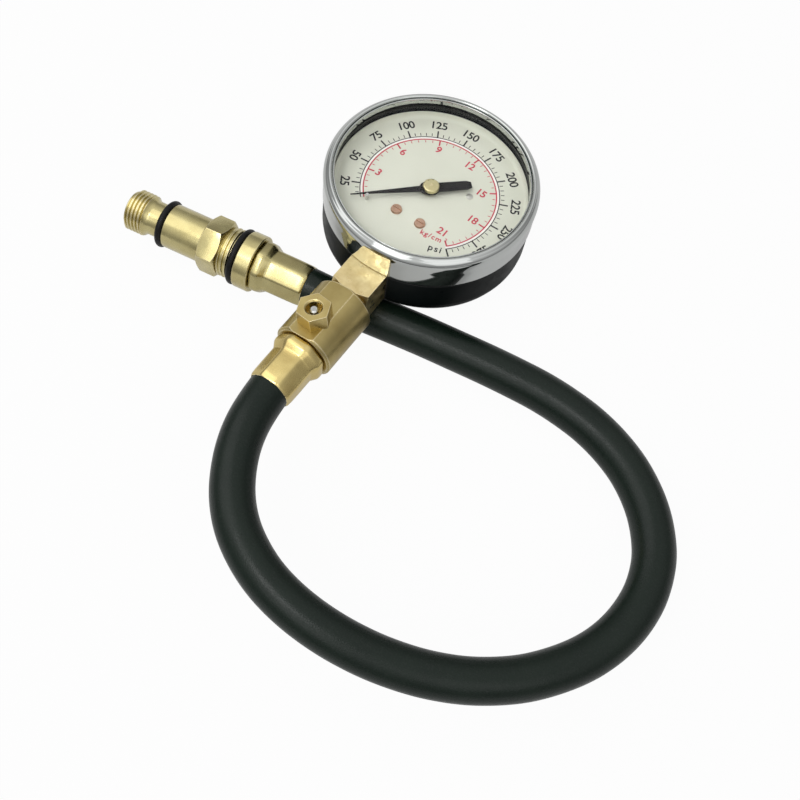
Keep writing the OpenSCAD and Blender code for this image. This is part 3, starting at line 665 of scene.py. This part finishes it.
def make_ferrule(name, length, roll, place):
    """A crimped ferrule: eight flats with soft ridges, a slope and a round bulge at the closed end."""
    low, high = CRIMP_START, length - CRIMP_LIP
    deselect()
    bpy.ops.mesh.primitive_cylinder_add(vertices=FLATS, radius=CRIMP_R / math.cos(math.pi / FLATS) * MM,
                                        depth=(high - low) * MM, end_fill_type="NOTHING",
                                        location=(0, 0, (low + high) / 2 * MM),
                                        rotation=(0, 0, math.radians(roll)))
    piece = bpy.context.object
    piece.name = name
    bpy.ops.object.transform_apply(location=True, rotation=True, scale=True)
    enter()
    bpy.ops.mesh.select_mode(type="EDGE")
    leave()
    for polygon in piece.data.polygons:
        polygon.select = False
    for edge in piece.data.edges:
        a, b = (piece.data.vertices[i].co for i in edge.vertices)
        edge.select = abs(a.z - b.z) > MM
    enter()
    bpy.ops.mesh.bevel(offset=RIDGE * MM, segments=3, profile=0.5, affect="EDGES")
    bpy.ops.mesh.select_mode(type="VERT")
    leave()
    # the closed end: the flats open out into a round bulge with a soft shoulder
    closed = [(4.9, CRIMP_R + 0.32, 0.2), (4.2, CRIMP_R + 0.85, 0.75), (3.5, BULGE_R - 0.5, 1.0),
              (3.0, BULGE_R - 0.14, 1.0), (2.4, BULGE_R, 1.0), (1.2, BULGE_R, 1.0),
              (0.5, BULGE_R - 0.14, 1.0), (0.12, BULGE_R - 0.5, 1.0), (0.02, BULGE_R - 1.0, 1.0),
              (0.02, 4.6, 1.0)]
    grow_rings(piece, False, closed, low)
    # the mouth: a small turned-in lip against the hose
    mouth = [(length - 0.35, CRIMP_R - 0.02, 0.8), (length - 0.1, CRIMP_R - 0.12, 1.0),
             (length - 0.02, CRIMP_R - 0.25, 1.0), (length - 0.1, HOSE_R + 0.05, 1.0),
             (length - 2.0, HOSE_R + 0.01, 1.0)]
    grow_rings(piece, True, mouth, high)
    edit(piece)
    close_up()
    leave()
    finish_modifier(piece, "SUBSURF", levels=1, render_levels=1)
    return settle(piece, place, 50)


def grow_rings(piece, top, rings, start):
    """Extrudes the rim ring by ring to heights and radii, with a share of roundness for each."""
    edit(piece)
    bpy.ops.mesh.select_all(action="DESELECT")
    leave()
    rim_ring(piece, top)
    enter()
    for height, radius, roundness in rings:
        rise = (0, 0, (height - start) * MM)
        bpy.ops.mesh.extrude_region_move(TRANSFORM_OT_translate={"value": rise})
        if roundness > 0:
            bpy.ops.transform.tosphere(value=roundness)
        leave()
        chosen = [v.co for v in piece.data.vertices if v.select]
        mean = sum(math.hypot(c.x, c.y) for c in chosen) / len(chosen)
        enter()
        grow = radius * MM / mean
        bpy.ops.transform.resize(value=(grow, grow, 1.0))
        start = height
    leave()


at_tee = STEM @ Matrix.Translation((0, 0, TEE_END * MM))
stem_ferrule = make_ferrule("ferrule_stem_side", FERRULE, 180 / FLATS, at_tee)
dress(stem_ferrule, "tester", BRASS_CRIMP_STEM)
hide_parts("ferrule_gauge_end")
at_collar = PLUG @ Matrix.Translation((0, 0, -COLLAR * MM)) @ Matrix.Rotation(math.pi, 4, "X")
plug_ferrule = make_ferrule("ferrule_plug_side", PLUG_FERRULE, 0, at_collar)
dress(plug_ferrule, "tester", BRASS_CRIMP_PLUG)
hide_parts("ferrule_plug_end")


# Bezel

def make_bezel():
    """The ring from its skirt up the side, over the rolled front, through the groove and down the lip."""
    front = DIAL_Z + 9.2
    skirt = DIAL_Z - 2.35
    neck = BEZEL_R - 1.3
    profile = [(neck, skirt), (BEZEL_R - 0.45, skirt)]
    profile += arc(BEZEL_R - 0.45, skirt + 0.25, 0.25, -90, 0, 4)
    profile += [(BEZEL_R - 0.2, DIAL_Z + 2.6), (BEZEL_R - 0.14, DIAL_Z + 3.8),
                (BEZEL_R - 0.05, DIAL_Z + 5)]
    profile += arc(BEZEL_R - 2.6, DIAL_Z + 6.4, 2.6, 0, 60, 12)
    profile += arc(BEZEL_R - 1.95, front - 0.72, 0.72, 66, 165, 9)
    profile += [(BEZEL_R - 2.66, front - 1.3), (BEZEL_R - 2.78, front - 1.45),
                (BEZEL_R - 2.9, front - 1.3)]
    profile += arc(LIP_R + 0.2, front - 0.75, 0.2, 0, 180, 8)
    profile += [(LIP_R, front - 1.3), (LIP_R, front - 2.37), (BEZEL_R - 2.0, front - 2.37),
                (neck, front - 3.2), (neck, skirt)]
    return turned("bezel_ring", profile, GAUGE, 192, 40)


bezel = make_bezel()
dress(bezel, "tester", CHROME)
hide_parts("bezel")


# Plug adapter with its two threads

def thread(name, crest, root, pitch, low, high, place):
    """A helical thread between two heights: one tooth drawn and screwed round, then cut flat."""
    turns = math.ceil((high - low) / pitch) + 2
    piece = start_point(name)
    first = low - 1.5 * pitch
    line = [(root, 0.0), (root, 0.1), (crest, 0.42), (crest, 0.58), (root, 0.9), (root, 1.0)]
    draw_line([Vector((r * MM, 0, (first + h * pitch) * MM)) for r, h in line])
    leave()
    finish_modifier(piece, "SCREW", axis="Z", angle=TURN, screw_offset=pitch * MM, iterations=turns,
                    steps=64, render_steps=64, use_merge_vertices=True, merge_threshold=MERGE)
    edit(piece)
    bpy.ops.mesh.remove_doubles(threshold=MERGE)
    bpy.ops.mesh.select_all(action="SELECT")
    bpy.ops.mesh.bisect(plane_co=(0, 0, low * MM), plane_no=(0, 0, 1), use_fill=True, clear_inner=True)
    bpy.ops.mesh.select_all(action="SELECT")
    bpy.ops.mesh.bisect(plane_co=(0, 0, high * MM), plane_no=(0, 0, 1), use_fill=True, clear_outer=True)
    close_up()
    leave()
    return settle(piece, place, 20)


def make_hexagon(name, across, low, high, roll, place):
    """A hexagon bar with its corners turned off at both ends."""
    deselect()
    bpy.ops.mesh.primitive_cylinder_add(vertices=6, radius=across / 2 / math.cos(math.pi / 6) * MM,
                                        depth=(high - low) * MM, location=(0, 0, (low + high) / 2 * MM),
                                        rotation=(0, 0, math.radians(roll)))
    piece = bpy.context.object
    piece.name = name
    bpy.ops.object.transform_apply(location=True, rotation=True, scale=True)
    inner, outer = across / 2 - 0.1, across * 0.62
    cone = [(0, low), (inner, low), (outer, low + 1.25), (outer, high - 1.25), (inner, high), (0, high)]
    cutter = turned(name + "_cone", cone, Matrix.Identity(4))
    finish_modifier(piece, "BOOLEAN", operation="INTERSECT", object=cutter, solver="EXACT")
    bpy.data.objects.remove(cutter)
    finish_modifier(piece, "BEVEL", width=0.14 * MM, segments=2, limit_method="ANGLE",
                    angle_limit=math.radians(25))
    return settle(piece, place, 30)


def make_adapter():
    """The turned body with its bore, the hexagon and the two threads."""
    crest = PLUG_THREAD_R
    back = RING_ROOM + 0.02
    barrel_round = 0.35
    bore_floor = TIP - VALVE_BORE_DEEP
    profile = [(SPIGOT_BORE_R, back), (BACK_R - 0.2, back), (BACK_R, back + 0.2), (BACK_R, HEX_A - 0.75)]
    profile += [(UNDER_HEX_R, HEX_A - 0.55), (UNDER_HEX_R, HEX_B - 0.2)]
    profile += [(BARREL_R, HEX_B - 0.2), (BARREL_R, RING_A - barrel_round)]
    profile += arc(BARREL_R - barrel_round, RING_A - barrel_round, barrel_round, 0, 90, 4)
    profile += [(RING_SEAT_R, RING_A), (RING_SEAT_R, SHOULDER - 1.7)]
    profile += [(RING_SEAT_R + 0.04, SHOULDER - 1.3), (RING_SEAT_R + 0.15, SHOULDER - 0.9)]
    profile += [(RING_SEAT_R + 0.4, SHOULDER - 0.45)]
    profile += [(crest - 0.4, SHOULDER), (crest - 0.12, SHOULDER + 0.3), (crest - 0.8, SHOULDER + 0.7)]
    profile += [(crest - 0.8, TIP - 1.1), (crest - 1.05, TIP - 0.15)]
    profile += arc(crest - 1.25, TIP - 0.2, 0.2, 15, 90, 3)
    profile += [(VALVE_BORE_R + 0.3, TIP), (VALVE_BORE_R, TIP - 0.3), (VALVE_BORE_R, bore_floor)]
    profile += [(CHANNEL_R, bore_floor), (CHANNEL_R, SPIGOT_BORE_END)]
    profile += [(SPIGOT_BORE_R, SPIGOT_BORE_END), (SPIGOT_BORE_R, back)]
    body = turned("adapter_body", profile, PLUG, 128)
    hexagon = make_hexagon("adapter_hexagon", PLUG_HEX, HEX_A, HEX_B, PLUG_HEX_ROLL, PLUG)
    tip_thread = thread("plug_thread", crest, crest - 0.66, PLUG_THREAD_PITCH,
                        SHOULDER + 0.6, TIP - 0.9, PLUG)
    back_thread = thread("adapter_thread", BACK_THREAD_R, BACK_THREAD_R - 0.65, BACK_THREAD_PITCH,
                         back + 0.1, HEX_A - 0.7, PLUG)
    return [body, hexagon, tip_thread, back_thread]


adapter_pieces = make_adapter()
for piece in adapter_pieces:
    dress(piece, "tester", BRASS_PLUG)
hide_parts("plug_adapter")

collar = eased("hose_end_fitting", "collar_fitting", 0.15)
dress(collar, "tester", BRASS_PLUG)


# Stem, tee and relief valve

stem = eased("gauge_socket", "square_stem", 0.22, 3)
dress(stem, "tester", CAST_BRASS)
tee = eased("tee_body", "tee_bar", 0.16, 2, 18)
dress(tee, "tester", BRASS_STEM)
valve = eased("relief_valve_body", "valve_hexagon", 0.09)
dress(valve, "tester", BRASS_VALVE)


# Dial, its printing, pointer and screws

# Angles in degrees clockwise from the stem's side. Arcs are two radii, and ticks two radii and a width,
# in millimetres, as are the sizes of the figures.
ZERO_TURN = 37.5
REST_TURN = 46.0
TURN_PER_PSI = 0.92
PSI_PER_METRIC = 14.223
PSI_TOP = 300
METRIC_TOP = 21
INK_T = 0.03
BLACK_ARC = (21.55, 21.85)
RED_ARC = (20.5, 20.9)
PSI_LONG = (21.7, 24.4, 0.48)
PSI_SHORT = (22.1, 23.2, 0.24)
METRIC_LONG = (18.6, 20.7, 0.48)
METRIC_SHORT = (19.4, 20.3, 0.22)
PSI_FIGURE_R = 26.6
PSI_FIGURE = 4.0
METRIC_FIGURE = 3.6
METRIC_FIGURE_R = {3: 17.2, 6: 17.0, 9: 16.8, 12: 16.7, 15: 15.9, 18: 16.2, 21: 15.5}
RIVET_TURN = 240.6
RIVET_AT_R = 12.3


def clock(turn, radius):
    """A point on the dial, its angle clockwise from the stem's side in degrees."""
    a = math.radians(turn)
    return Vector((-math.sin(a) * radius * MM, -math.cos(a) * radius * MM, 0))


def psi_turn(value):
    return ZERO_TURN + TURN_PER_PSI * value


def metric_turn(value):
    return psi_turn(PSI_PER_METRIC * value)


def stroke(turn, inner, outer, width):
    """One printed tick, as a thin plate along a radius."""
    bpy.ops.mesh.primitive_plane_add(size=1, location=(0, 0, 0))
    tick = bpy.context.object
    tick.scale = (width * MM, (outer - inner) * MM, 1)
    tick.rotation_euler = (0, 0, math.pi - math.radians(turn))
    tick.location = clock(turn, (inner + outer) / 2)
    bpy.ops.object.transform_apply(location=True, rotation=True, scale=True)
    return tick


def arc_band(first, last, inner, outer):
    """One printed arc, as an edge spun through its angle."""
    start_point("arc_band")
    draw_line([clock(first, inner), clock(first, outer)])
    bpy.ops.mesh.select_all(action="SELECT")
    steps = int((last - first) / 1.5)
    bpy.ops.mesh.spin(steps=steps, angle=math.radians(last - first), center=(0, 0, 0), axis=(0, 0, 1))
    leave()
    return bpy.context.object


def word(text, turn, radius, size, roll, spread=0.95):
    """Printed figures at a place on the dial, rolled from upright by an angle in degrees."""
    bpy.ops.object.text_add(location=(0, 0, 0))
    figure = bpy.context.object
    figure.data.body = text
    figure.data.size = size * MM
    figure.data.align_x = "CENTER"
    figure.data.align_y = "CENTER"
    figure.data.resolution_u = 5
    figure.data.offset = 0.018 * size * MM
    figure.data.space_character = spread
    bpy.ops.object.convert(target="MESH")
    figure = bpy.context.object
    figure.rotation_euler = (0, 0, math.radians(roll))
    figure.location = clock(turn, radius)
    bpy.ops.object.transform_apply(location=True, rotation=True, scale=True)
    return figure


def psi_figure(value):
    """A black figure with its feet to the centre, or outwards where that would stand on its head."""
    turn = psi_turn(value)
    feet = 180 if 90 < turn < 280 else 0
    return word(str(value), turn, PSI_FIGURE_R, PSI_FIGURE, feet - turn)


def print_on_dial(pieces, name, material):
    """Joins printed marks into one thin layer of ink on the dial."""
    layer = join(pieces, name)
    edit(layer)
    bpy.ops.mesh.remove_doubles(threshold=1e-7)
    bpy.ops.mesh.normals_make_consistent(inside=False)
    leave()
    finish_modifier(layer, "SOLIDIFY", thickness=INK_T * MM, offset=0.0)
    settle(layer, GAUGE @ Matrix.Translation((0, 0, (DIAL_Z + INK_T / 2 + 0.004) * MM)))
    dress(layer, "tester", material)


deselect()
white_band = arc_band(REST_TURN + 1, psi_turn(PSI_TOP), RED_ARC[1], BLACK_ARC[0])
print_on_dial([white_band], "scale_gap", WHITE_INK)
black_marks = [arc_band(REST_TURN, psi_turn(PSI_TOP) + 0.3, *BLACK_ARC)]
for psi in range(15, PSI_TOP + 1, 5):
    tick = PSI_LONG if psi % 25 == 0 else PSI_SHORT
    black_marks.append(stroke(psi_turn(psi), *tick))
print_on_dial(black_marks, "scale_psi", BLACK_INK)
black_figures = [psi_figure(psi) for psi in range(25, PSI_TOP + 1, 25)]
black_figures.append(word("psi", 322.5, 21.4, 3.1, 17, 1.25))
print_on_dial(black_figures, "figures_psi", BLACK_INK)
red_marks = [arc_band(REST_TURN, metric_turn(METRIC_TOP) + 0.3, *RED_ARC)]
for half in range(3, 2 * METRIC_TOP + 1):
    tick = METRIC_LONG if half % 6 == 0 else METRIC_SHORT
    red_marks.append(stroke(metric_turn(half / 2), *tick))
print_on_dial(red_marks, "scale_metric", RED_INK)
red_figures = []
for value, radius in METRIC_FIGURE_R.items():
    red_figures.append(word(str(value), metric_turn(value), radius, METRIC_FIGURE, 0))
red_figures.append(word("kg/cm", 325.5, 16.8, 2.5, 8, 1.22))
red_figures.append(word("2", 311.5, 18.6, 1.6, 8))
print_on_dial(red_figures, "figures_metric", RED_INK)

rim_foot = DIAL_Z + 0.01
rim_top = DIAL_Z + RIM
rim_profile = [(DIAL_R - 1.5, rim_foot), (DIAL_R - 1.1, DIAL_Z + 0.08), (DIAL_R - 0.7, DIAL_Z + 0.3),
               (DIAL_R - 0.45, DIAL_Z + 0.7), (DIAL_R - 0.35, rim_top), (DIAL_R - 0.1, rim_top),
               (DIAL_R - 0.1, rim_foot), (DIAL_R - 1.5, rim_foot)]
rim = turned("dial_rim", rim_profile, GAUGE, 128, 40)
dress(rim, "tester", DIAL_PAINT)
rivet_at = clock(RIVET_TURN, RIVET_AT_R) + Vector((0, 0, (DIAL_Z + 0.005) * MM))
rivet_profile = [(0, 0.0), (1.15, 0.0), (1.1, 0.18), (0.8, 0.3), (0, 0.34)]
rivet = turned("dial_rivet", rivet_profile, GAUGE @ Matrix.Translation(rivet_at), 32)
dress(rivet, "tester", RIVET_GREY)

needle = eased("pointer", "pointer_needle", 0.08)
dress(needle, "pointer_set", NEEDLE_BLACK)
hub_low = DIAL_Z + 0.9
hub_profile = [(0.52, hub_low), (2.2, hub_low), (2.2, hub_low + 0.68), (1.0, hub_low + 0.68),
               (1.0, hub_low + 1.14), (2.5, hub_low + 1.14), (2.6, hub_low + 1.26), (2.6, hub_low + 1.9)]
hub_profile += arc(2.15, hub_low + 1.95, 0.45, 0, 90, 5)
hub_profile += [(1.4, hub_low + 2.46), (0.42, hub_low + 2.5), (0.3, hub_low + 2.38),
                (0.0, hub_low + 2.34), (0.0, hub_low + 2.1), (0.52, hub_low + 2.1), (0.52, hub_low)]
hub = turned("hub_cap", hub_profile, GAUGE, 64)
dress(hub, "pointer_set", BRASS_HUB)
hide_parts("pointer_hub")
screws = eased("dial_screws", "copper_screws", 0.12)
dress(screws, "tester", COPPER)


# Copies of the springs and of the pressure tube


def shortening(node, name, joint):
    """A copy of a spring's CAD node in steel, riding on the tester."""
    piece = copied(node, name)
    dress(piece, "tester", STEEL)
    away = -Vector(joints[joint]["axis"])
    reach = [away.dot(vertex.co) for vertex in piece.data.vertices]
    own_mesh(piece)
    return piece


shortening("relief_valve_spring", "relief_coil", "relief_pin_press")
check_coil = shortening("check_valve_spring", "check_coil", "check_pin_lift")
opening_tube = copied("pressure_tube", "opening_tube")
opening_tube.data.materials.append(BRASS_MOVEMENT)
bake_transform(opening_tube)


# Materials of the CAD nodes that stay as they are

KEPT = {
    "gauge_case": BLACK_PAINT, "window": GLASS, "window_gasket": RUBBER, "dial_plate": DIAL_PAINT,
    "zero_stop_pin": STEEL, "pinion_arbor": STEEL, "hairspring": BRASS_MOVEMENT,
    "sector_gear": BRASS_MOVEMENT, "sector_arbor": STEEL, "link": BRASS_MOVEMENT,
    "tube_tip": BRASS_MOVEMENT,
    "movement_back_plate": BRASS_MOVEMENT, "movement_front_plate": BRASS_MOVEMENT,
    "movement_pillars": BRASS_MOVEMENT, "movement_screws": STEEL, "case_screws": STEEL,
    "relief_valve_core": BRASS_VALVE, "relief_valve_pin": STEEL,
    "o_ring_large": RUBBER, "o_ring_small": RUBBER, "check_valve_core": BRASS_PLUG,
    "check_valve_pin": STEEL,
}
for node, material in KEPT.items():
    nodes[node].data.materials.clear()
    nodes[node].data.materials.append(material)

on_hose = [plug_ferrule, collar, check_coil, *adapter_pieces]
plug_nodes = ("o_ring_large", "o_ring_small", "check_valve_core", "check_valve_pin")
on_hose += [nodes[node] for node in plug_nodes]
[tuple(p) for p in hose_line]


# Floor, light and camera

FLOOR_SEEN = 0.96
FLOOR_MIRRORED = 0.34
SKY_LIGHT = 0.36


def pale_floor():
    """A floor that is white to the camera, greyer in mirrors, and keeps the object's shadow."""
    material, tree, shader, _ = new_material("pale_floor", (0.9, 0.9, 0.9), 0.0, 0.9)
    shader.inputs["Specular IOR Level"].default_value = 0.0
    path = tree.nodes.new("ShaderNodeLightPath")
    glow = tree.nodes.new("ShaderNodeEmission")
    mix = tree.nodes.new("ShaderNodeMixShader")
    seen = math_node(tree, "MULTIPLY", path.outputs["Is Camera Ray"], FLOOR_SEEN)
    mirrored = math_node(tree, "MULTIPLY", path.outputs["Is Glossy Ray"], FLOOR_MIRRORED)
    tree.links.new(math_node(tree, "ADD", seen, mirrored), mix.inputs["Fac"])
    tree.links.new(shader.outputs["BSDF"], mix.inputs[1])
    tree.links.new(glow.outputs["Emission"], mix.inputs[2])
    tree.links.new(mix.outputs["Shader"], tree.nodes["Material Output"].inputs["Surface"])
    return material


deselect()
bpy.ops.mesh.primitive_plane_add(size=6, location=(0, 0, -0.00005))
floor = bpy.context.object
floor.name = "studio_floor"
floor.data.materials.append(pale_floor())


def make_sky():
    """A studio room, paler overhead than at the sides, and white where the camera sees it."""
    world = bpy.data.worlds.new("studio")
    bpy.context.scene.world = world
    world.use_nodes = True
    tree = world.node_tree
    sky = tree.nodes["Background"]
    rays = tree.nodes.new("ShaderNodeLightPath").outputs
    direction = tree.nodes.new("ShaderNodeTexCoord")
    height = tree.nodes.new("ShaderNodeSeparateXYZ")
    tree.links.new(direction.outputs["Generated"], height.inputs["Vector"])
    ceiling = tree.nodes.new("ShaderNodeMapRange")
    ceiling.interpolation_type = "SMOOTHSTEP"
    ceiling.inputs["From Min"].default_value = 0.1
    ceiling.inputs["From Max"].default_value = 0.9
    ceiling.inputs["To Min"].default_value = 0.35
    ceiling.inputs["To Max"].default_value = 1.0
    tree.links.new(height.outputs["Z"], ceiling.inputs["Value"])
    shade = math_node(tree, "MAXIMUM", ceiling.outputs["Result"], rays["Is Camera Ray"])
    tree.links.new(shade, sky.inputs["Color"])
    seen = math_node(tree, "MAXIMUM", rays["Is Camera Ray"], rays["Is Glossy Ray"])
    seen = math_node(tree, "MAXIMUM", seen, rays["Is Transmission Ray"])
    extra = math_node(tree, "MULTIPLY", seen, 1 - SKY_LIGHT)
    tree.links.new(math_node(tree, "ADD", extra, SKY_LIGHT), sky.inputs["Strength"])


make_sky()

VIEW_TURN = math.radians(34.83)
VIEW_RISE = math.radians(70.0)
VIEW_FAR = 0.3565
VIEW_AT = Vector((0.02654, gauge_origin.y - 0.05124, 0.0))
LENS = 51.75


def towards(turn, rise):
    """The direction from the object at a turn from the stem's side and a rise above the floor."""
    return Vector((math.sin(turn) * math.cos(rise), -math.cos(turn) * math.cos(rise), math.sin(rise)))


def lamp(name, turn, rise, far, size, power):
    """A square lamp that faces the object, its turn in degrees from the camera's side."""
    back = towards(VIEW_TURN + math.radians(turn), math.radians(rise))
    bpy.ops.object.light_add(type="AREA", location=VIEW_AT + back * far)
    light = bpy.context.object
    light.name = name
    light.data.shape = "SQUARE"
    light.data.size = size
    light.data.energy = power
    light.rotation_euler = back.to_track_quat("Z", "Y").to_euler()


lamp("key_lamp", 238, 54, 0.9, 0.8, 1.7)
lamp("side_lamp", 30, 46, 1.0, 0.6, 0.6)
lamp("front_lamp", -40, 52, 1.0, 0.5, 0.9)
lamp("top_lamp", 300, 71, 1.0, 0.24, 1.15)

view_back = towards(VIEW_TURN, VIEW_RISE)
bpy.ops.object.camera_add(location=VIEW_AT + view_back * VIEW_FAR,
                          rotation=view_back.to_track_quat("Z", "Y").to_euler())
camera = bpy.context.object
camera.data.sensor_fit = "HORIZONTAL"
camera.data.sensor_width = 36.0
camera.data.lens = LENS
camera.data.clip_start = 0.01
bpy.context.scene.camera = camera
bpy.context.scene.view_settings.view_transform = "Standard"

deselect()
